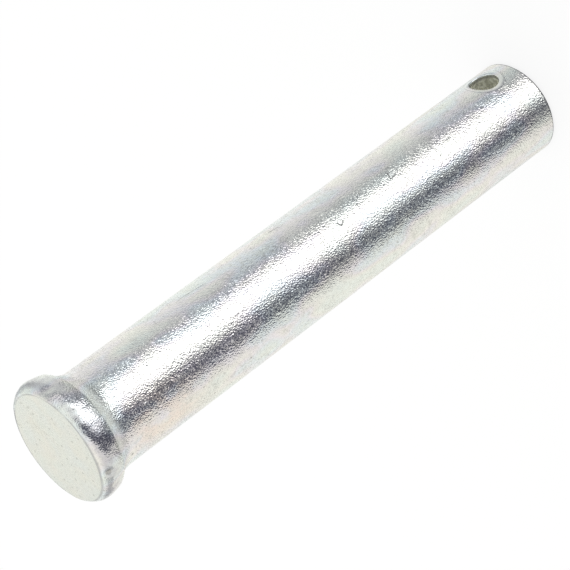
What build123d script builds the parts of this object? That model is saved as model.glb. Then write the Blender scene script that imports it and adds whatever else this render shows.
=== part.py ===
"""A clevis pin: a cold-headed steel pin with a round head and a cross hole for its split pin.

The pin is one piece. It stands on its plain end, so +Z runs from that end up to the head, and
the origin is the centre of the end face. All sizes are in millimetres.
"""

import os

from build123d import *

# Shank
shank_diameter = 20.0
grip_length = 120.0  # underside of the head to the plain end
end_chamfer = 0.5

# Head
head_diameter = 25.2  # at the widest point of its bulged rim
head_height = 5.2
rim_crest_from_face = 2.75  # how far below the flat face the rim is widest
head_face_diameter = 22.8  # the flat that the heading die leaves
bearing_diameter = 24.0  # outer edge of the flat underside

# Neck, where the shank flares out to the underside of the head
neck_diameter = 22.6
neck_length = 2.8

# Cross hole
hole_diameter = 6.0
hole_from_end = 7.2  # centre of the hole to the plain end
hole_mouth_round = 0.6

# Radii and heights that follow from them
shank_radius = shank_diameter / 2
neck_radius = neck_diameter / 2
bearing_radius = bearing_diameter / 2
head_radius = head_diameter / 2
head_face_radius = head_face_diameter / 2
neck_bottom = grip_length - neck_length
overall_length = grip_length + head_height
rim_crest = overall_length - rim_crest_from_face

with BuildPart() as clevis_pin:
    # Half of the pin's section, from the end face up the outside and over the head
    with BuildSketch(Plane.XZ) as half_section:
        with BuildLine():
            Polyline(
                (0, overall_length),
                (0, 0),
                (shank_radius - end_chamfer, 0),
                (shank_radius, end_chamfer),
                (shank_radius, neck_bottom),
            )
            # The neck leaves the shank without an edge and meets the underside at one
            TangentArc(
                (shank_radius, neck_bottom), (neck_radius, grip_length), tangent=(0, 1)
            )
            Line((neck_radius, grip_length), (bearing_radius, grip_length))
            # The rim bulges between the two dies: an arc each way from its crest, and an edge
            # where it meets each face
            TangentArc(
                (head_radius, rim_crest), (bearing_radius, grip_length), tangent=(0, -1)
            )
            TangentArc(
                (head_radius, rim_crest), (head_face_radius, overall_length), tangent=(0, 1)
            )
            Line((head_face_radius, overall_length), (0, overall_length))
        make_face()
    revolve(axis=Axis.Z)

    # The cross hole runs right through the shank, along Y
    with Locations(Location((0, 0, hole_from_end), (90, 0, 0))):
        Hole(radius=hole_diameter / 2)

    # Both of its mouths are rounded where they break through the shank
    fillet(clevis_pin.edges(Select.LAST).filter_by(GeomType.BSPLINE), hole_mouth_round)

clevis_pin.part.label = "clevis_pin"

os.makedirs("parts", exist_ok=True)
export_step(clevis_pin.part, "parts/clevis_pin.step")
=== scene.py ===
# %% [markdown]
# # A zinc plated clevis pin
#
# A clevis pin joins a fork to a rod: it drops through both, its head stops it on one
# side, and a split pin through its cross hole keeps it there on the other. It is one
# piece of steel. Its head is forged cold between two dies, its cross hole is drilled,
# and then it is zinc plated in a barrel with hundreds of others, which knock small
# pits and nicks into it.
#
# The packed model is loaded first. It could be given a finish as it is, but it is
# coarse and exact. So the pin is modelled again, finer and with its marks, in the same
# frame: it stands on its plain end, with its head up and its cross hole along Y.

# %% The frame
import math

import bmesh
import bpy
from mathutils import Matrix, Vector


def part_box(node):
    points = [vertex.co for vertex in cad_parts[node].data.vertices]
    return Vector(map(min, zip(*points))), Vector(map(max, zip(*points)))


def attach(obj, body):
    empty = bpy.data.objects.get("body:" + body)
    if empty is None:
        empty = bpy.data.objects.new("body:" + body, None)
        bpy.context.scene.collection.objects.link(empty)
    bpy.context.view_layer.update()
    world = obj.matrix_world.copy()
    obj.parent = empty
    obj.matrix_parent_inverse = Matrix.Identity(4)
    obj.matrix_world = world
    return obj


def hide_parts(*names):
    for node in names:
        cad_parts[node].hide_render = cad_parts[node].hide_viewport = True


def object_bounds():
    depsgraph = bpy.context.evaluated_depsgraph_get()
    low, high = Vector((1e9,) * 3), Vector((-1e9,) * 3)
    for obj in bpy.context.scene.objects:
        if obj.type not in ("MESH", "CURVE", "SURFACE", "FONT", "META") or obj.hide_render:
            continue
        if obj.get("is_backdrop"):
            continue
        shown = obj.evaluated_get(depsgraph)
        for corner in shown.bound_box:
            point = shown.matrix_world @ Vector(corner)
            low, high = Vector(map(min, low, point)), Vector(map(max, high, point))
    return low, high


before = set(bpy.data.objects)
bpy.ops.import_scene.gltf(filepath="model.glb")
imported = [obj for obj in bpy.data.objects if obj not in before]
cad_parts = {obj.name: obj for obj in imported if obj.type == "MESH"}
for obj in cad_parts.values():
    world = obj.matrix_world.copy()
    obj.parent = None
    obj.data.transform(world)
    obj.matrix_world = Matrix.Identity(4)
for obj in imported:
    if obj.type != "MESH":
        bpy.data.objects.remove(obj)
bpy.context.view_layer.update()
low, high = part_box("clevis_pin")
millimetre = 0.001
overall_length = high.z - low.z
print("the packed model has the nodes", list(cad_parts))
print("the pin stands", round(overall_length / millimetre, 1), "mm tall")

# %% [markdown]
# ## The camera
#
# The pin is seen from above its head, so that the head looms at one corner and the
# plain end with its hole falls away to the other. A wide lens close by would taper the
# shank, so a long lens is used from nearly half a metre away, which keeps its sides
# nearly parallel. The pin could be laid down to lie across the view, but then it would
# leave its place in the model, so the camera is rolled about its line of sight instead.

# %% The camera
camera_azimuth = math.radians(-53.8)
camera_elevation = math.radians(29.49)
camera_roll = math.radians(126.72)
camera_distance = 0.4565
camera_lens = 152.6
camera_aim = Vector((-0.0005, 0.0007, 0.06815))

towards_camera = Vector((
    math.sin(camera_azimuth) * math.cos(camera_elevation),
    -math.cos(camera_azimuth) * math.cos(camera_elevation),
    math.sin(camera_elevation),
))
camera_data = bpy.data.cameras.new("camera")
camera_data.lens = camera_lens
camera = bpy.data.objects.new("camera", camera_data)
bpy.context.scene.collection.objects.link(camera)
upright = (-towards_camera).to_track_quat("-Z", "Y").to_matrix().to_4x4()
camera.matrix_world = (
    Matrix.Translation(camera_aim + towards_camera * camera_distance)
    @ upright
    @ Matrix.Rotation(-camera_roll, 4, "Z")
)
bpy.context.scene.camera = camera
camera_place = camera.matrix_world.translation
print("the camera stands", round(camera_place.length, 3), "m from the pin's foot")

# %% [markdown]
# ## The foot
#
# The header starts from a cut length of wire. Here it starts from a disc, which
# becomes the plain end that the pin stands on. A profile could also be spun round the
# axis, but from a disc one loop of faces is drawn up through every stage of the pin,
# as the steel itself is, and the mesh is closed from its first step.
#
# Modelling by hand is a round of choosing some faces or edges and doing one thing to
# them. In code the thing done is the operator that the key or the menu calls, and it
# acts on whatever is chosen, so everything is let go of first.

# %% The disc at the foot
shank_radius = 10.0 * millimetre
end_chamfer = 0.5 * millimetre
foot_radius = shank_radius - end_chamfer
sides = 240


def work_on(piece):
    """Opens one piece alone in edit mode, with nothing of it chosen."""
    if bpy.context.object and bpy.context.object.mode != "OBJECT":
        bpy.ops.object.mode_set(mode="OBJECT")
    bpy.ops.object.select_all(action="DESELECT")
    piece.select_set(True)
    bpy.context.view_layer.objects.active = piece
    bpy.ops.object.mode_set(mode="EDIT")
    bpy.ops.mesh.select_all(action="DESELECT")


bpy.ops.object.select_all(action="DESELECT")
bpy.ops.mesh.primitive_circle_add(
    vertices=sides, radius=foot_radius, fill_type="NGON", location=(0, 0, 0)
)
pin = bpy.context.object
pin.name = "plated_clevis_pin"
print("the disc has", len(pin.data.vertices), "corners")
work_on(pin)
bpy.ops.mesh.select_all(action="SELECT")

# %% [markdown]
# ## The shank and the neck
#
# The plain end has a small chamfer, the shank is straight, and under the head it
# flares out in a concave neck, which keeps the head from shearing off. Each stage is
# an extrusion of the top face followed by a scale about the pin's axis. The flare
# could be a bevel of the corner under the head, but a bevel's arc runs smoothly into
# both of its faces. This one leaves the shank smoothly and meets the head at an angle,
# so its rings follow an arc of their own.

# %% Drawing out the shank and the neck
head_height = 5.2 * millimetre
under_head = overall_length - head_height
neck_radius = 11.9 * millimetre
neck_bottom = under_head - 4.6 * millimetre
shank_parts = 3
neck_rings = 8
stage_height, stage_radius = 0.0, foot_radius


def draw_out(height, radius):
    """Extrudes the chosen top face to a new height and a new radius."""
    global stage_height, stage_radius
    bpy.ops.mesh.extrude_region_move(
        TRANSFORM_OT_translate={"value": (0, 0, height - stage_height)}
    )
    bpy.ops.transform.resize(
        value=(radius / stage_radius, radius / stage_radius, 1),
        center_override=(0, 0, height),
    )
    stage_height, stage_radius = height, radius


def upright_arc(radius, height, far_radius, far_height, steps):
    """Yields the arc from upright at its start to a far point, as (radius, height)."""
    out, along = far_radius - radius, far_height - height
    reach = (out**2 + along**2) / (2 * out)
    whole_turn = 2 * math.atan(abs(out / along))
    for step in range(1, steps + 1):
        turn = whole_turn * step / steps
        yield (
            radius + reach * (1 - math.cos(turn)),
            height + math.copysign(reach * math.sin(turn), along),
        )


draw_out(end_chamfer, shank_radius)
for part in range(1, shank_parts + 1):
    draw_out(end_chamfer + (neck_bottom - end_chamfer) * part / shank_parts, shank_radius)
flare = upright_arc(shank_radius, neck_bottom, neck_radius, under_head, neck_rings)
for radius, height in flare:
    draw_out(height, radius)
print("the neck ends", round(stage_height / millimetre, 1), "mm above the foot")

# %% [markdown]
# ## The head
#
# The two dies of the header don't quite meet, and the steel between them swells into a
# rounded rim. Its underside ends in a flat ring that bears on the fork, and its top is
# flat too, with an edge where the rim ends. A disc with both edges bevelled would be
# fullest at half its height. This rim is fullest a little nearer the top, so it is
# drawn as two arcs, one from below and one from above, that meet upright at its crest.

# %% Drawing out the head
bearing_radius = 12.0 * millimetre
head_radius = 12.6 * millimetre
rim_crest = overall_length - 2.3 * millimetre
head_face_radius = 11.4 * millimetre
rings_below_crest = 8
rings_above_crest = 12

draw_out(under_head, bearing_radius)
below_crest = list(
    upright_arc(head_radius, rim_crest, bearing_radius, under_head, rings_below_crest)
)
for radius, height in below_crest[-2::-1] + [(head_radius, rim_crest)]:
    draw_out(height, radius)
above_crest = upright_arc(
    head_radius, rim_crest, head_face_radius, overall_length, rings_above_crest
)
for radius, height in above_crest:
    draw_out(height, radius)
print("the head is", round(2 * head_radius / millimetre, 1), "mm across")

# %% [markdown]
# ## The flat top and the flat foot
#
# Both are one face with 240 corners so far. It could stay so, but such a face has
# nothing in its middle that a dent or a lump could move. Each is inset again and again,
# which fills it with rings, and the small face that is left is poked, which closes it
# with a fan of triangles.
#
# The top is still chosen from the last extrusion. The foot has to be chosen by a test
# of where it is and which way it faces.

# %% The flat top and the flat foot
top_rings = 30
foot_rings = 7


def choose(piece, kind, test):
    """Chooses the vertices, edges or faces that pass a test, and counts them."""
    bpy.ops.mesh.select_mode(type=kind)
    bpy.ops.mesh.select_all(action="DESELECT")
    mesh = bmesh.from_edit_mesh(piece.data)
    parts = {"VERT": mesh.verts, "EDGE": mesh.edges, "FACE": mesh.faces}[kind]
    chosen = 0
    for part in parts:
        if test(part):
            part.select_set(True)
            chosen += 1
    mesh.select_flush_mode()
    bmesh.update_edit_mesh(piece.data)
    return chosen


def is_foot(face):
    """Whether a face is the flat foot."""
    return face.normal.z < -0.99 and face.calc_center_median().z < 1e-6


for ring in range(1, top_rings):
    bpy.ops.mesh.inset(thickness=head_face_radius / top_rings, use_boundary=True)
bpy.ops.mesh.poke()

choose(pin, "FACE", is_foot)
for ring in range(1, foot_rings - 1):
    bpy.ops.mesh.inset(thickness=shank_radius / foot_rings)
bpy.ops.mesh.poke()
print("the blank has", len(bmesh.from_edit_mesh(pin.data).faces), "faces")

# %% [markdown]
# ## The shank's rows
#
# The shank is still three long bands of faces. The hole could be cut in them as they
# are, but the boolean would leave long slivers beside it, which shade unevenly. The
# upright edges are subdivided first, into rows half a millimetre apart, about twice as
# tall as the faces are wide.

# %% The shank's rows
cuts = 78
long_edge = 10 * millimetre


def middle(edge):
    """The middle of an edge."""
    return (edge.verts[0].co + edge.verts[1].co) / 2


def runs_up_the_shank(edge):
    """Whether an edge is one of the long upright ones."""
    rise = abs(edge.verts[0].co.z - edge.verts[1].co.z)
    return end_chamfer < middle(edge).z < neck_bottom and rise > long_edge


choose(pin, "EDGE", runs_up_the_shank)
bpy.ops.mesh.subdivide(number_cuts=cuts)
print("with its rows it has", len(bmesh.from_edit_mesh(pin.data).faces), "faces")
bpy.ops.object.mode_set(mode="OBJECT")

# %% [markdown]
# ## The cross hole
#
# The split pin goes through a hole that is drilled straight through both sides. A
# drill leaves a sharp edge where it breaks through a round shank, and that edge is a
# saddle, high at two sides and low at the other two. It is then tumbled smooth.
#
# A boolean alone would give a sharp edge, and a bevel of it is uneven, because the
# faces beside it are. So the boolean cuts an opening as wide as the smooth mouth, its
# wall is deleted, and a new wall grows inwards from the two open rims.

# %% Drilling the cross hole
hole_radius = 3.0 * millimetre
hole_height = 7.2 * millimetre
mouth_round = 0.35 * millimetre
mouth_radius = hole_radius + mouth_round
drill_sides = 96


def finish_with(piece, kind, **settings):
    """Adds a modifier to a piece and applies it."""
    bpy.ops.object.mode_set(mode="OBJECT")
    modifier = piece.modifiers.new(kind.lower(), kind)
    for name, value in settings.items():
        setattr(modifier, name, value)
    bpy.ops.object.modifier_apply(modifier=modifier.name)


bpy.ops.object.select_all(action="DESELECT")
bpy.ops.mesh.primitive_cylinder_add(
    vertices=drill_sides,
    radius=mouth_radius,
    depth=4 * shank_radius,
    location=(0, 0, hole_height),
    rotation=(math.radians(90), 0, 0),
)
drill = bpy.context.object
bpy.ops.object.select_all(action="DESELECT")
pin.select_set(True)
bpy.context.view_layer.objects.active = pin
finish_with(pin, "BOOLEAN", operation="DIFFERENCE", object=drill, solver="EXACT")
bpy.data.objects.remove(drill)
print("drilled, it has", len(pin.data.polygons), "faces")

# %% [markdown]
# The boolean has left the drill's own wall inside the pin. Its faces are found by where
# they are and which way they face, and deleted. The open rims have some corners that
# lie almost on each other, where the drill met the shank's mesh, and these are merged.

# %% Taking out the drill's wall
weld = 0.04 * millimetre


def is_open(edge):
    """Whether an edge has a face on one side only."""
    return edge.is_boundary


def off_hole_axis(point):
    """How far a point is from the hole's axis."""
    return math.hypot(point.x, point.z - hole_height)


def on_drill_wall(face):
    """Whether a face is part of the wall that the drill left."""
    centre = face.calc_center_median()
    outwards = Vector((centre.x, 0, centre.z - hole_height)).normalized()
    return (
        off_hole_axis(centre) < mouth_radius + 1e-6
        and face.normal.dot(outwards) < -0.9
        and math.hypot(centre.x, centre.y) < shank_radius * 0.99
    )


work_on(pin)
choose(pin, "FACE", on_drill_wall)
bpy.ops.mesh.delete(type="FACE")
print("the two open rims have", choose(pin, "EDGE", is_open), "edges")
bpy.ops.mesh.remove_doubles(threshold=weld)

# %% [markdown]
# Each rim is extruded inwards, ring by ring. Every ring is scaled a little smaller
# about the hole's axis and then set a little deeper below the shank's curve, so that
# the rounding has the same width all round the saddle.

# %% Rounding the two mouths
mouth_steps = 8

for side in (-1, 1):
    choose(pin, "EDGE", lambda e: is_open(e) and e.verts[0].co.y * side > 0)
    ring_radius = mouth_radius
    for step in range(1, mouth_steps + 1):
        turn = math.radians(90) * step / mouth_steps
        new_radius = mouth_radius - mouth_round * math.sin(turn)
        depth = mouth_round * (1 - math.cos(turn))
        bpy.ops.mesh.extrude_edges_move()
        bpy.ops.transform.resize(
            value=(new_radius / ring_radius, 1, new_radius / ring_radius),
            center_override=(0, 0, hole_height),
        )
        mesh = bmesh.from_edit_mesh(pin.data)
        for v in mesh.verts:
            if v.select:
                v.co.y = side * (math.sqrt(shank_radius**2 - v.co.x**2) - depth)
        bmesh.update_edit_mesh(pin.data)
        ring_radius = new_radius
print("both mouths narrow to", round(ring_radius / millimetre, 2), "mm")

# %% [markdown]
# The two last rings have the same number of corners, so they could be joined one face
# at a time. Bridging does it in one step and cuts the wall into even parts. Then the
# whole pin is shaded smooth, except across edges of more than 40 degrees, which keeps
# the chamfer and the head's underside crisp.

# %% The bore
bore_cuts = 24
crisp_angle = math.radians(40)

choose(pin, "EDGE", is_open)
bpy.ops.mesh.bridge_edge_loops(number_cuts=bore_cuts)
bpy.ops.mesh.select_all(action="SELECT")
bpy.ops.mesh.normals_make_consistent(inside=False)
print("open edges left:", choose(pin, "EDGE", is_open))
bpy.ops.object.mode_set(mode="OBJECT")
bpy.ops.object.shade_smooth_by_angle(angle=crisp_angle)
print("the pin has", len(pin.data.polygons), "faces")

# %% [markdown]
# ## An uneven head
#
# A header upsets the wire in one blow, so the head is never quite central. It could be
# cut off, moved and joined again, but that would leave a step in the neck. So each
# vertex is pushed sideways by a share that eases in along the neck.

# %% A head off its centre
off_centre = Vector((0.16, -0.22, 0)) * millimetre

work_on(pin)
mesh = bmesh.from_edit_mesh(pin.data)
for v in mesh.verts:
    share = min(max((v.co.z - neck_bottom) / (under_head - neck_bottom), 0), 1)
    v.co += off_centre * (share * share * (3 - 2 * share))
bmesh.update_edit_mesh(pin.data)
bpy.ops.object.mode_set(mode="OBJECT")
print("the head is", round(off_centre.length / millimetre, 2), "mm off centre")

# %% [markdown]
# The same blow leaves the rim a little lumpy. The lumps could be sculpted by hand. A
# displacement by a cloud texture gives the same look in one step, and a vertex group
# keeps it to the headed end and nearly off the flat top.

# %% The lumps
lump_size = 2.6 * millimetre
lump_height = 0.22 * millimetre
share_on_the_flat_top = 0.15

headed_end = pin.vertex_groups.new(name="headed_end")
for v in pin.data.vertices:
    if v.co.z > neck_bottom:
        share = min((v.co.z - neck_bottom) / (3 * millimetre), 1)
        if v.co.z > overall_length - 0.01 * millimetre:
            share *= share_on_the_flat_top
        headed_end.add([v.index], share, "REPLACE")
lumps = bpy.data.textures.new("headed_lumps", "CLOUDS")
lumps.noise_scale = lump_size
lumps.noise_depth = 1
finish_with(
    pin,
    "DISPLACE",
    texture=lumps,
    texture_coords="LOCAL",
    vertex_group="headed_end",
    strength=lump_height,
    mid_level=0.5,
)
print("the lumps are", round(lump_height / millimetre, 2), "mm from low to high")

# %% [markdown]
# ## The dents
#
# In the plating barrel the heavy pins fall on each other, and the rim's soft edge picks
# up dents. A boolean with small balls would leave sharp craters. A blow spreads, so
# each dent is a few vertices pushed inwards with proportional editing, which draws
# their neighbours along with a smooth falloff.

# %% The dents
blow_radius = 12.5 * millimetre
blow_size = 0.3 * millimetre
dents = [
    # azimuth in degrees, then height, depth and spread in millimetres
    (170.5, 123.7, 0.45, 1.3),
    (-128, 123.9, 0.07, 0.8),
    (-138, 122.9, 0.06, 1.2),
    (152, 122.6, 0.18, 1.0),
    (-96, 123.6, 0.20, 1.1),
    (-60, 122.8, 0.25, 1.2),
    (20, 123.5, 0.22, 1.0),
    (88, 122.4, 0.25, 1.3),
]
for azimuth, height, depth, spread in dents:
    turn = math.radians(azimuth)
    outwards = Vector((math.cos(turn), math.sin(turn), 0))
    struck = outwards * blow_radius + Vector((0, 0, height * millimetre))
    work_on(pin)
    choose(pin, "VERT", lambda v: (v.co - struck).length < blow_size)
    bpy.ops.transform.translate(
        value=outwards * -depth * millimetre,
        use_proportional_edit=True,
        proportional_edit_falloff="SMOOTH",
        proportional_size=spread * millimetre,
    )
bpy.ops.object.mode_set(mode="OBJECT")
print("the rim has", len(dents), "dents")

# %% [markdown]
# ## Shader maths
#
# A finish is a formula over the surface, and Blender draws formulas as nodes. They
# could be placed by hand, but a formula of a hundred Math nodes is hard to read. Two
# small classes let it be written as Python instead. The first is a wire: one value
# that runs between nodes. Each operator on it adds its Math node.


# %% A wire that takes arithmetic
class Wire:
    """One value that runs from node to node, and takes arithmetic."""

    def __init__(self, tree, socket):
        self.tree, self.socket = tree, socket

    def maths(self, operation, *others):
        """A Math node on this value and others."""
        return self.tree.maths(operation, self, *others)

    def __add__(self, other):
        return self.maths("ADD", other)

    def __mul__(self, other):
        return self.maths("MULTIPLY", other)

    def __sub__(self, other):
        return self.maths("SUBTRACT", other)

    def __truediv__(self, other):
        return self.maths("DIVIDE", other)

    def __pow__(self, other):
        return self.maths("POWER", other)

    def __neg__(self):
        return self * -1

    def __rsub__(self, other):
        return self.tree.maths("SUBTRACT", other, self)

    def __rtruediv__(self, other):
        return self.tree.maths("DIVIDE", other, self)

    __radd__, __rmul__ = __add__, __mul__

    def least(self, other):
        """The smaller of two values."""
        return self.maths("MINIMUM", other)

    def most(self, other):
        """The larger of two values."""
        return self.maths("MAXIMUM", other)

    def size(self):
        """The value without its sign."""
        return self.maths("ABSOLUTE")

    def rise(self, start, end):
        """0 below start and 1 above end, with a smooth change between them."""
        return self.tree.node(
            "ShaderNodeMapRange",
            {"interpolation_type": "SMOOTHSTEP"},
            {"Value": self, "From Min": start, "From Max": end},
        )

    def parts(self):
        """The x, y and z of a vector, or the red, green and blue of a colour."""
        return [self.tree.node("ShaderNodeSeparateXYZ", {}, {0: self}, i) for i in range(3)]

    def towards(self, other, share):
        """This colour mixed with another one by a share from 0 to 1."""
        return self.tree.mix(self, other, share)


print("a wire knows", ", ".join(name for name in vars(Wire) if name[0] != "_"))


# %% [markdown]
# The second is a tree, which adds the nodes. One method is enough for every kind,
# because a node is only its settings and its sockets. Maths, mixed colours and noises
# are needed so often that they have short names of their own. Colours are mixed and
# never sent through a Math node, which would turn them grey.


# %% A tree of nodes
class Tree:
    """A node tree that is written as expressions."""

    def __init__(self, owner):
        owner.use_nodes = True
        self.nodes, self.links = owner.node_tree.nodes, owner.node_tree.links
        self.nodes.clear()

    def node(self, kind, settings, sockets, output=0):
        """Adds a node: its settings first, then the value or the link of each socket."""
        made = self.nodes.new(kind)
        for name, value in settings.items():
            if name == "stops":
                self.set_stops(made.color_ramp, value)
            else:
                setattr(made, name, value)
        for name, value in sockets.items():
            if isinstance(value, Wire):
                self.links.new(value.socket, made.inputs[name])
            else:
                made.inputs[name].default_value = value
        return Wire(self, made.outputs[output]) if made.outputs else None

    def set_stops(self, ramp, stops):
        """Puts a colour ramp's stops in, as {position: colour}."""
        while len(ramp.elements) > 1:
            ramp.elements.remove(ramp.elements[-1])
        for i, (position, colour) in enumerate(sorted(stops.items())):
            stop = ramp.elements[0] if i == 0 else ramp.elements.new(position)
            stop.position, stop.color = position, (*colour, 1)

    def maths(self, operation, *values):
        """A Math node on some values."""
        sockets = dict(enumerate(values))
        return self.node("ShaderNodeMath", {"operation": operation}, sockets)

    def mix(self, first, second, share):
        """Two colours, each a wire or (red, green, blue), mixed by a share from 0 to 1."""
        first, second = (c if isinstance(c, Wire) else (*c, 1) for c in (first, second))
        share_socket, first_socket, second_socket, mixed_socket = 0, 6, 7, 2
        return self.node(
            "ShaderNodeMix",
            {"data_type": "RGBA", "blend_type": "MIX"},
            {share_socket: share, first_socket: first, second_socket: second},
            mixed_socket,
        )

    def noise(self, place, per_mm, detail=0, roughness=0.5):
        """Noise over a place in millimetres, with so many lumps in each millimetre."""
        return self.node(
            "ShaderNodeTexNoise",
            {"noise_dimensions": "3D"},
            {"Vector": place, "Scale": per_mm, "Detail": detail, "Roughness": roughness},
        )


print("a tree knows", ", ".join(name for name in vars(Tree) if name[0] != "_"))

# %% [markdown]
# ## Where on the pin
#
# Zinc plate is part of the metal, so its grain and marks must stay with the pin. They
# could be painted on an unwrapped texture, but a tube and its head leave seams in it.
# Instead every pattern is read from the place on the pin, in millimetres, which has no
# seams and gives each mark its true size. A second place is squeezed along the pin,
# and what reads it is drawn out lengthwise, as the wire was.

# %% Where on the pin
bright_zinc = bpy.data.materials.new("bright_zinc_plate")
zinc = Tree(bright_zinc)
place = zinc.node(
    "ShaderNodeVectorMath",
    {"operation": "SCALE"},
    {0: zinc.node("ShaderNodeTexCoord", {}, {}, "Object"), "Scale": 1 / millimetre},
)
x, y, z = place.parts()
from_axis = (x * x + y * y) ** 0.5
drawn = zinc.node("ShaderNodeCombineXYZ", {}, {0: x, 1: y, 2: z * 0.5})
print("the places on the pin take", len(zinc.nodes), "nodes")

# %% [markdown]
# ## Pits and dashes
#
# The barrel leaves small round pits, and dashes where one pin slid along another. They
# could be placed one by one, but there are hundreds of them. A Voronoi pattern fills
# space with cells. A spot in the middle of each, kept only where the cell's random
# colour is low, gives scattered spots of any size and number.


# %% Pits and dashes
def speckle(place, per_mm, size, share, dimensions="3D"):
    """Round spots of a size in mm, in a share of the cells of a Voronoi pattern."""
    cells = {"Vector": place, "Scale": per_mm}
    settings = {"voronoi_dimensions": dimensions}
    distance = zinc.node("ShaderNodeTexVoronoi", settings, cells, "Distance")
    lucky, _, _ = zinc.node("ShaderNodeTexVoronoi", settings, cells, "Color").parts()
    return (1 - distance.rise(size * per_mm * 0.5, size * per_mm)) * lucky.maths(
        "LESS_THAN", share
    )


pits = speckle(place, 0.55, 0.16, 0.35).most(speckle(place, 1.3, 0.10, 0.12))
dashes = speckle(drawn, 1.1, 0.13, 0.16)
print("with the pits and dashes the zinc has", len(zinc.nodes), "nodes")

# %% [markdown]
# ## Scratches and knocks
#
# A few larger marks stand alone, and each has its own place: ticks and lines scratched
# across the shank, and dull round knocks on the shank and the rim. Cutting them into
# the mesh would take thousands of faces for marks a tenth of a millimetre deep, so
# they are masks. A mark is seen from straight outside it, so its place is how far it
# is across the pin from there, and the mask has to be cleared on the far side.


# %% Across the pin
def at_azimuth(azimuth):
    """The place as seen from an azimuth: mm across, and whether it is on that side."""
    c, s = math.cos(math.radians(azimuth)), math.sin(math.radians(azimuth))
    return y * c - x * s, (x * c + y * s).maths("GREATER_THAN", 0)


def strongest(masks):
    """The largest of several masks."""
    whole = masks[0]
    for mask in masks[1:]:
        whole = whole.most(mask)
    return whole


print("seen from azimuth 0, across runs along Y")


# %% [markdown]
# A scratch is a straight line from one point to another. Its mask is the distance to
# the nearest point of that line: the share of the way along it, kept between 0 and 1,
# and the gap that is left. A tick is two strokes that share a point.


# %% Scratches
def stroke(azimuth, start, end, width):
    """A scratch on the shank from start to end, each (mm across, height) at an azimuth."""
    across, this_side = at_azimuth(azimuth)
    run, rise = end[0] - start[0], end[1] - start[1]
    p, q = across - start[0], z - start[1]
    share = ((p * run + q * rise) / (run * run + rise * rise)).most(0).least(1)
    gap = ((p - share * run) ** 2 + (q - share * rise) ** 2) ** 0.5
    return (1 - gap.rise(width * 0.4, width)) * this_side


scratches = strongest([
    stroke(-131, (0.28, 56.6), (-0.5, 56.3), 0.16),
    stroke(-131, (-0.5, 56.3), (0.1, 55.3), 0.16),
    stroke(-121.5, (0.9, 40.4), (-0.5, 41.0), 0.17),
    stroke(-121.5, (-0.5, 41.0), (-0.4, 39.6), 0.15),
    stroke(-83, (0.25, 66.9), (-0.2, 64.7), 0.13),
    stroke(-86.5, (0.4, 90.5), (-0.5, 84.9), 0.10),
])
marks = pits.most(dashes).most(scratches)
print("with the scratches the zinc has", len(zinc.nodes), "nodes")


# %% [markdown]
# A knock is where the corner of another pin hit this one. It is round and shallow, so
# its mask is only the distance to a point.


# %% Knocks
def knock(azimuth, height, radius):
    """A round mark on the shank or the rim, at an azimuth and a height in mm."""
    across, this_side = at_azimuth(azimuth)
    gap = (across * across + (z - height) ** 2) ** 0.5
    return (1 - gap.rise(radius * 0.6, radius)) * this_side


knocks = strongest([
    knock(170.5, 123.7, 0.75),
    knock(-122.3, 9.6, 0.30),
    knock(155.9, 116.5, 0.38),
    knock(152.3, 95.8, 0.30),
    knock(164.7, 86.5, 0.30),
])
print("with the knocks the zinc has", len(zinc.nodes), "nodes")

# %% [markdown]
# ## Where the grain is worn smooth
#
# The grain isn't equally deep all over. The rim and the flat top rub on other pins, and
# the drill's burr was filed off round the hole, so the steel is smoother there, and a
# low lip is left round each mouth. Each zone is a mask made of heights and distances,
# with soft ends, so the zones need no edges in the mesh.

# %% Where the grain is worn smooth
top_z = round(overall_length / millimetre, 2)
head_z = round(under_head / millimetre, 2)
on_rim = z.rise(head_z + 0.3, head_z + 1.2)
on_top = z.rise(top_z - 0.40, top_z - 0.15) * (1 - from_axis.rise(11.2, 11.5))
hole_z = hole_height / millimetre
lip_radius = 3.8
off_hole = (x * x + (z - hole_z) ** 2) ** 0.5
at_hole_height = z.rise(0.8, 1.4) * (1 - z.rise(16, 18))
beside_hole = at_hole_height * y.size().rise(7.0, 7.6)
round_the_hole = (1 - off_hole.rise(3.9, 4.3)) * beside_hole
lip = (1 - (off_hole - lip_radius).size().rise(0.05, 0.6)) * beside_hole
worn_smooth = (on_rim * 0.35).most(on_top * 0.75).most(round_the_hole * 0.8)
print("the head's underside is at", head_z, "mm and its top at", top_z, "mm")
print("the lip lies", lip_radius, "mm from the hole's axis")

# %% [markdown]
# ## The relief
#
# Barrel plating grows in tiny crystals, about four in each millimetre, which scatter
# the reflections into a grain. As a displacement they would need millions of faces, and
# they don't change the outline, so they are a bump. Finer crystals would blur into a
# plain satin, and larger ones would look like hammering. Under them lie clumps and the
# slow waviness of drawn wire, and the marks are sunk below both.

# %% The relief
grain_depth = 0.08 * millimetre
grain = zinc.noise(place, 3.7)
clumps = zinc.noise(place, 2.0)
waviness = zinc.noise(place, 0.38, 1)
relief = (
    (grain * 1.05 + clumps * 0.35) * (1 - worn_smooth)
    + waviness * 0.6
    - marks * 0.7
    + lip * 1.1
)
bump = zinc.node(
    "ShaderNodeBump", {}, {"Strength": 1.0, "Distance": grain_depth, "Height": relief}
)
print("the grain is", round(grain_depth / millimetre, 2), "mm deep")

# %% [markdown]
# ## The film's colours
#
# Fresh zinc is dipped in a clear passivate. Its film is as thin as an oil film on
# water, and shows the same faint colours in turn as it thickens: straw, pink, blue and
# green. A thin-film shader could work them out, but it can't be baked for other
# programs. So a slow noise stands for the film's thickness, and a colour ramp gives
# the colour of each thickness, close to silver all along.

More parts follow.
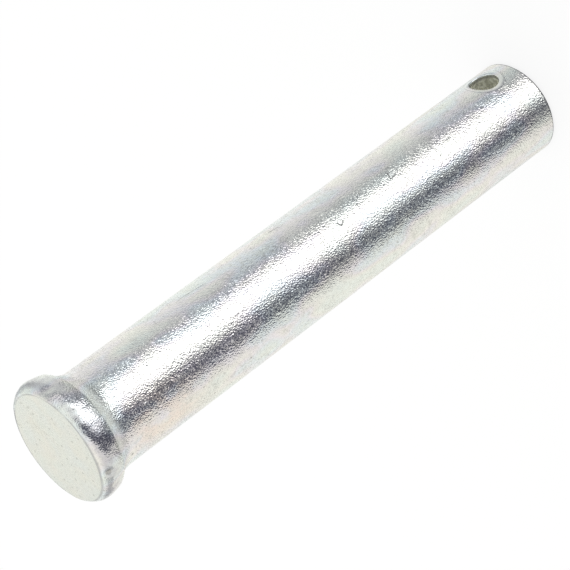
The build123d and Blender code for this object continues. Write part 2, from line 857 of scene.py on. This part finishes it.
# %% The film's colours
thickness = zinc.noise(drawn, 0.16, 1).rise(0.25, 0.75)
ripples = zinc.noise(drawn, 0.45, 2) - 0.5
film = thickness + ripples * 0.35
film_colours = {
    0.00: (0.86, 0.92, 0.86),
    0.22: (0.92, 0.92, 0.84),
    0.40: (0.92, 0.88, 0.84),
    0.54: (0.90, 0.85, 0.89),
    0.70: (0.82, 0.88, 0.93),
    0.86: (0.81, 0.90, 0.90),
    1.00: (0.86, 0.92, 0.86),
}
tint = zinc.node("ShaderNodeValToRGB", {"stops": film_colours}, {0: film})
silver = (0.89, 0.89, 0.89)
plated = zinc.mix(silver, tint, 0.75)
print("the film has", len(film_colours), "colours")

# %% [markdown]
# On one side below the head the film dried thicker and left a warm patch. It could be
# one more stop of the ramp, but it has its own place, so it is a mask: facing one way,
# between two heights, and ragged where a noise breaks it up.

# %% The straw patch
straw_azimuth = math.radians(180)
facing_straw = (x * math.cos(straw_azimuth) + y * math.sin(straw_azimuth)) / (
    shank_radius / millimetre
)
straw_patch = (
    facing_straw.rise(0.80, 0.97)
    * z.rise(95, 105)
    * (1 - z.rise(112, 118))
    * zinc.noise(drawn, 0.30, 3, 0.6).rise(0.36, 0.56)
)
plated = plated.towards((0.94, 0.83, 0.75), straw_patch * 0.9)
print("the straw patch faces", round(math.degrees(straw_azimuth)), "degrees")

# %% [markdown]
# ## Clouds, creases and flecks
#
# From close by, the plate isn't even between its marks. Duller clouds a millimetre
# wide lie in it, thin creases wander where the film shrank, and dark flecks sit
# between the crystals. One picture of old metal could bring all three, but with its own
# light baked into it. Three noises keep them apart instead. A crease is the line along
# which a noise crosses its middle value.

# %% Clouds, creases and flecks
clouds = zinc.noise(place, 0.9, 3, 0.65).rise(0.40, 0.62)
plated = plated.towards((0.80, 0.80, 0.74), clouds * 0.35)
shrunk = zinc.noise(place, 0.22, 2).rise(0.42, 0.60)
creases = (1 - (zinc.noise(place, 0.55, 3, 0.6) - 0.5).size().rise(0.006, 0.026)) * shrunk
plated = plated.towards((0.52, 0.52, 0.49), creases * 0.55)
flecks = zinc.noise(place, 2.8, 1, 0.6).rise(0.52, 0.72)
plated = plated.towards((0.55, 0.55, 0.54), flecks * 0.30)
print("with its clouds, creases and flecks the zinc has", len(zinc.nodes), "nodes")

# %% [markdown]
# ## Dirt and painted shade in the marks
#
# A pit or a scratch is not only a dip: dull grey dirt collects in it, and a fresh scratch
# shows darker steel. The same masks darken their colour, partly for that dirt and steel and
# partly as painted shade in the dips, which keeps them dark where the light comes straight
# on and the bump alone would lose them. The rim takes more knocks than the rest, and it is
# painted darker in mottled places, which is painted shade.

# %% Dirt and painted shade in the marks
# The marks' darker colour is partly dirt and bare steel and partly painted shade in the
# dips.
marked = plated.towards((0.42, 0.42, 0.38), marks * 0.55)
marked = marked.towards((0.26, 0.26, 0.27), scratches * 0.75)
# The rim is painted a darker grey in mottled places: painted shade on the rim.
rim = z.rise(head_z + 0.2, head_z + 1.2) * (1 - z.rise(top_z - 1.2, top_z - 0.4))
painted_rim_shade = zinc.noise(place, 0.4, 3, 0.6).rise(0.3, 0.65) * 0.55 + 0.2
marked = marked.towards((0.58, 0.57, 0.59), rim * painted_rim_shade)
marked = marked.towards((0.42, 0.41, 0.39), knocks * 0.75)
print("with the dirt the zinc has", len(zinc.nodes), "nodes")

# %% [markdown]
# ## The head's flat top
#
# The flat top rubs against other pins, which leaves it a duller straw grey, with small
# chips and a slanting scuff near one side. A dark line is painted round its edge, which is
# painted shade. It could have a material of its own, but then the edge between the two
# would be a hard line along the faces. A mask fades one finish into the other.

# %% The head's flat top
slow_change = zinc.noise(place, 0.16, 2).rise(0.4, 0.7)
straw_grey = zinc.mix((0.75, 0.77, 0.72), (0.78, 0.765, 0.69), slow_change)
rubbed = zinc.noise(place, 1.1, 4, 0.65).rise(0.45, 0.75)
straw_grey = straw_grey.towards((0.66, 0.67, 0.63), rubbed * 0.55)
marked = marked.towards(straw_grey, on_top * 0.85)
print("with the flat top the zinc has", len(zinc.nodes), "nodes")

# %% [markdown]
# The cut edge at the foot is painted dark, which is a painted shade line along the foot's
# edge. It is half a millimetre high, so a height is all that its mask needs.

# %% The dark edge at the foot
# The dark colour of the foot's chamfer is painted shade.
foot_edge = 1 - z.rise(0.50, 0.75)
marked = marked.towards((0.14, 0.14, 0.15), foot_edge)
print("the dark edge ends at the chamfer,", round(end_chamfer / millimetre, 2), "mm up")

# %% [markdown]
# The top's chips could come from the solid pattern of the pits, but the flat top would
# slice its spots at random. A flat pattern keeps each chip whole. The scuff is a noise
# that is stretched along a slanting line and fades away from one spot.

# %% Chips, a scuff and a painted shade line round the top
chips = speckle(place, 0.30, 0.32, 0.6, "2D").most(speckle(place, 0.6, 0.2, 0.15, "2D"))
slanting = zinc.node(
    "ShaderNodeCombineXYZ", {}, {0: x + y * 0.6, 1: (y - x * 0.6) * 0.3, 2: 0}
)
from_scuff = ((x - 4.2) ** 2 + (y + 3.7) ** 2) ** 0.5
scuff = zinc.noise(slanting, 2.0, 2, 0.6).rise(0.52, 0.66) * (1 - from_scuff.rise(1.5, 3.6))
chips = chips.most(scuff * 0.7)
marked = marked.towards((0.46, 0.46, 0.42), on_top * chips * 0.55)
# The dark line round the top's edge is painted shade, not wear.
painted_edge_shade = (
    from_axis.rise(11.15, 11.35)
    * (1 - from_axis.rise(11.45, 11.7))
    * z.rise(top_z - 0.7, top_z - 0.4)
    * zinc.noise(place, 0.2, 2).rise(0.2, 0.6)
)
marked = marked.towards((0.45, 0.45, 0.45), painted_edge_shade * 0.75)
print("the worn edge lies", round(head_face_radius / millimetre, 1), "mm from the axis")

# %% [markdown]
# ## The bore's wall
#
# The barrel cannot throw much zinc into the cross hole. Its wall stays a dull olive grey,
# blotched where the plating solution dried. Just inside the mouth it is painted darkest,
# which is painted shade in the hole. As the wall is the only surface inside the shank, its
# mask is a distance from the pin's axis.

# %% The bore's wall
wall_starts = 9.65
mouth_line_radius = 4.05
in_bore = (1 - from_axis.rise(wall_starts - 0.2, wall_starts)) * at_hole_height
blotches = zinc.noise(place, 1.4, 3, 0.6).rise(0.32, 0.68)
olive = zinc.mix((0.50, 0.50, 0.40), (0.90, 0.90, 0.78), blotches)
# Darker towards the mouth: painted shade in the hole.
olive = olive.towards((0.10, 0.10, 0.09), from_axis.rise(8.8, 9.4) * 0.7)
# A darker ring is painted just outside the lip, which is painted shade round the hole's
# mouth.
mouth_line = (1 - (off_hole - mouth_line_radius).size().rise(0.05, 0.22)) * beside_hole
marked = marked.towards((0.50, 0.50, 0.50), mouth_line * 0.5)
surface = marked.towards(olive, in_bore)
print("the bore's wall starts", wall_starts, "mm from the pin's axis")

# %% [markdown]
# ## The finished zinc
#
# Zinc plate is a metal, so its colour is the colour of its reflections, and its
# roughness decides how sharp they are. One roughness all over looks like chrome or
# like paint. Here it changes from crystal to crystal, rises in the marks, and is high
# in the neck, where the corner is never rubbed and the plate stays matt. The bore's
# wall is hardly metal to the eye at all.

# %% The finished zinc
neck = (
    z.rise(head_z - 3.2, head_z - 1.3)
    * (1 - z.rise(head_z, head_z + 0.3))
    * (1 - from_axis.rise(11.5, 11.9))
)
roughness = (
    0.07
    + zinc.noise(place, 3.1).rise(0.35, 0.75) * 0.26
    + marks * 0.25
    + neck * 0.45
    + foot_edge * 0.3
    + on_top * 0.08
) * (1 - in_bore) + in_bore * 0.6
metal = (1 - in_bore * 0.9) * (1 - neck * 0.45)
shader = zinc.node(
    "ShaderNodeBsdfPrincipled",
    {},
    {"Base Color": surface, "Metallic": metal, "Roughness": roughness, "Normal": bump},
)
zinc.node("ShaderNodeOutputMaterial", {}, {"Surface": shader})
pin.data.materials.clear()
pin.data.materials.append(bright_zinc)
print("the zinc has", len(zinc.nodes), "nodes")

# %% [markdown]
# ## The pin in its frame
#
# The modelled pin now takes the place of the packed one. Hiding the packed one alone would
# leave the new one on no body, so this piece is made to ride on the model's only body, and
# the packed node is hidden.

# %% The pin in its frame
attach(pin, "root")
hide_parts("clevis_pin")
print(pin.name, "stands in for clevis_pin")

# %% [markdown]
# ## The light tent
#
# Polished metal shows what stands around it, so bright metal is lit by a tent of cloth
# rather than by lamps. The tent could be built from glowing sheets. This one is the
# world itself, whose brightness depends on the direction, which renders with less
# noise and hides nothing.
#
# A lit strip stands beside the camera with a dark gap next to it, and the far walls
# are pale. The strip runs down the shank as the highlight, and the gap as the dark
# band. The strip is over twice as bright as white, so that the crystals beside it
# still catch it and glint in the dark band. The wall is a colour ramp round the pin.
# Its folds slant a little, as hanging cloth does, and stand at their own degrees at the
# height that the shank mirrors.

# %% The tent's walls
world = bpy.data.worlds.new("light_tent")
bpy.context.scene.world = world
tent = Tree(world)
dx, dy, dz = tent.node("ShaderNodeTexCoord", {}, {}, "Generated").parts()
front_x, front_y = math.sin(camera_azimuth), -math.cos(camera_azimuth)
forwards = dx * front_x + dy * front_y
sideways = dx * front_y - dy * front_x
mirrored_height = -0.49
slant = (dz - mirrored_height) * 0.09
around = sideways.maths("ARCTAN2", forwards) / math.tau + 0.5 + slant
walls = {
    # degrees round the pin, with 0 at the camera
    -180: (0.94, 0.95, 0.92),
    -155: (1.05, 1.05, 1.01),
    -125: (0.96, 0.97, 0.93),
    -105: (0.77, 0.785, 0.78),
    -85: (0.70, 0.72, 0.73),
    -68: (0.51, 0.53, 0.56),
    -52: (0.32, 0.335, 0.37),
    -41: (0.34, 0.355, 0.39),
    -32: (2.30, 2.30, 2.32),
    -4: (2.30, 2.30, 2.33),
    8: (0.80, 0.81, 0.84),
    27: (0.165, 0.168, 0.205),
    50: (0.035, 0.038, 0.062),
    57: (0.34, 0.35, 0.38),
    64: (0.88, 0.88, 0.87),
    90: (0.91, 0.90, 0.87),
    120: (0.97, 0.96, 0.91),
    180: (0.94, 0.95, 0.92),
}
wall = tent.node(
    "ShaderNodeValToRGB",
    {"stops": {degrees / 360 + 0.5: colour for degrees, colour in walls.items()}},
    {0: around},
)
print("the tent's wall has", len(walls), "folds")

# %% [markdown]
# The strip fades out upwards, and the tent's roof is pale. The ground under the tent is
# dark, which gives the head's rim a shaded side. Behind the pin, two gaps in the cloth
# keep its back from washing out. Each of them is a mask on the direction, laid over the
# wall in turn.

# %% The tent's roof, ground and gaps
roof = dz.rise(0.55, 0.95)
ground = (dz * -0.95 - forwards * 0.30).rise(0.72, 0.94).most((-dz).rise(0.62, 0.84))
turned = (around - 0.5) * 360
rear_gaps = (
    turned.size().rise(95, 118)
    * (1 - turned.size().rise(155, 172))
    * dz.rise(-0.40, -0.20)
    * (1 - dz.rise(0.10, 0.24))
)
strip_middle = -18
from_strip = (turned - strip_middle).size()
strip_top = (1 - from_strip.rise(24, 32)) * dz.rise(-0.30, 0.10)
cloth = (
    wall.towards((0.92, 0.92, 0.93), strip_top)
    .towards((0.40, 0.41, 0.43), rear_gaps * 0.75)
    .towards((0.92, 0.92, 0.90), roof)
    .towards((0.10, 0.105, 0.12), ground * 0.68)
)
print("the tent has", len(tent.nodes), "nodes")

# %% [markdown]
# The camera itself sees plain white instead of the tent. A white wall could stand
# behind the pin, but it would show in the metal, and this doesn't.

# %% The white background
seen_by_camera = tent.node("ShaderNodeLightPath", {}, {}, "Is Camera Ray")
background = tent.node(
    "ShaderNodeBackground",
    {},
    {"Color": cloth.towards((1, 1, 1), seen_by_camera), "Strength": 1.0},
)
tent.node("ShaderNodeOutputWorld", {}, {"Surface": background})
bpy.context.scene.view_settings.view_transform = "Standard"
print("the background is plain white")

# %% [markdown]
# ## The floor
#
# The pin stands on a sheet of white paper with no edge in view. A sheet that is only
# lit would be grey, and one that only glows would lose the pin's shadow, so it is
# mostly glow with a little lit paper in it. It is kept out of the metal's reflections,
# because the tent's dark ground is what the rim should show.

# %% The floor
floor_size = 8
share_of_glow = 0.86

bpy.ops.object.select_all(action="DESELECT")
bpy.ops.mesh.primitive_plane_add(size=floor_size, location=(0, 0, 0))
floor = bpy.context.object
floor.name = "floor"
floor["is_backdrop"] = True
floor.visible_glossy = False
floor.visible_shadow = False

white_paper = bpy.data.materials.new("white_paper")
paper = Tree(white_paper)
lit = paper.node("ShaderNodeBsdfDiffuse", {}, {"Color": (0.9, 0.9, 0.9, 1)})
glow = paper.node("ShaderNodeEmission", {}, {"Color": (1, 1, 1, 1), "Strength": 1.0})
looks = strongest([
    paper.node("ShaderNodeLightPath", {}, {}, ray)
    for ray in ("Is Camera Ray", "Is Glossy Ray", "Is Transmission Ray")
])
sheet = paper.node("ShaderNodeMixShader", {}, {0: looks * share_of_glow, 1: lit, 2: glow})
paper.node("ShaderNodeOutputMaterial", {}, {"Surface": sheet})
floor.data.materials.append(white_paper)
print("the floor is", floor_size, "m wide")

# %% [markdown]
# ## The lamp
#
# The tent lights the pin from all sides and would leave hardly a shadow. One large,
# weak lamp above it lays a faint soft one at its foot. It is hidden from reflections,
# so that no square shows in the metal.

# %% The lamp
lamp_power = 6
lamp_size = 1.0
lamp_place = (0.3, 0.4, 1.2)

bpy.ops.object.light_add(type="AREA", location=lamp_place)
lamp = bpy.context.object
lamp.data.size = lamp_size
lamp.data.energy = lamp_power
lamp.visible_glossy = False
print("the lamp has", lamp_power, "watts")

# %% [markdown]
# ## The size
#
# The finished pin's box is measured and written down.

# %% The size
visual_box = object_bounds()
pin_size = visual_box[1] - visual_box[0]
print("the pin's box is", [round(side / millimetre, 2) for side in pin_size], "mm")
